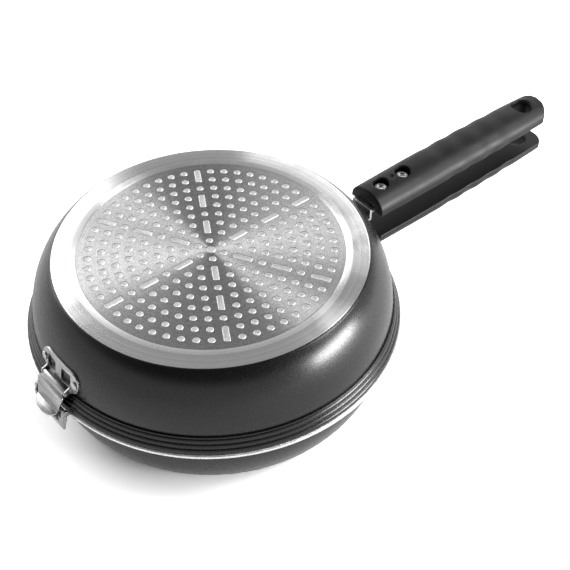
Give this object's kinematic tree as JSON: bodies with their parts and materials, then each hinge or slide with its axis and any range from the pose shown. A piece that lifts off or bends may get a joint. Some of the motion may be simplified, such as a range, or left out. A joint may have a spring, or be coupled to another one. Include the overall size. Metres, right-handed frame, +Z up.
{
  "type": "double sided flip pan",
  "caption": "Round double sided frying pan: two hinged pans close rim to rim, each with its own long handle, and a steel hook at the back holds the hinge.",
  "frame": {"origin": "on the pans' common axis, at the plane of the lower pan's base ring, which it stands on", "axes": "+X along the handles to their tips, with the hinge at -X, +Z up through the upper pan's base, +Y to the left when looking along +X"},
  "size_m": [0.441, 0.2448, 0.099],
  "materials": {
    "painted_aluminium": "dark grey satin enamel with a fine fleck, base ring turned bare",
    "disc_steel": "spun, pressed into the aluminium base",
    "sheet_steel": "folded sheet, lightly brushed",
    "plated_screws": "bright plated",
    "aluminium_rivets": "dull",
    "handle_resin": "moulded black phenolic, soft sheen"
  },
  "bodies": {
    "lower_pan_body": {"lower_pan": "painted_aluminium", "lower_induction_disc": "disc_steel", "lower_bracket": "sheet_steel", "lower_bracket_rivets": "aluminium_rivets", "lower_handle": "handle_resin", "lower_handle_screws": "plated_screws", "lower_hinge_bracket": "sheet_steel", "lower_hinge_rivets": "aluminium_rivets", "hinge_pin": "sheet_steel"},
    "upper_pan_body": {"upper_pan": "painted_aluminium", "upper_induction_disc": "disc_steel", "upper_bracket": "sheet_steel", "upper_bracket_screws": "plated_screws", "upper_handle": "handle_resin", "upper_handle_screws": "plated_screws", "upper_hinge_plate": "sheet_steel", "upper_hinge_rivets": "aluminium_rivets", "hook_axle": "sheet_steel"},
    "hinge_hook_body": {"hinge_hook": "sheet_steel"}
  },
  "joints": [
    {"name": "pan_hinge", "type": "hinge", "parent": "lower_pan_body", "child": "upper_pan_body", "pos_m": [-0.1244, 0, 0.048], "axis": [0, -1, 0], "range_deg": [0, 85]},
    {"name": "hook_release", "type": "hinge", "parent": "upper_pan_body", "child": "hinge_hook_body", "pos_m": [-0.1199, 0, 0.0605], "axis": [0, 1, 0], "range_deg": [0, 45]}
  ]
}
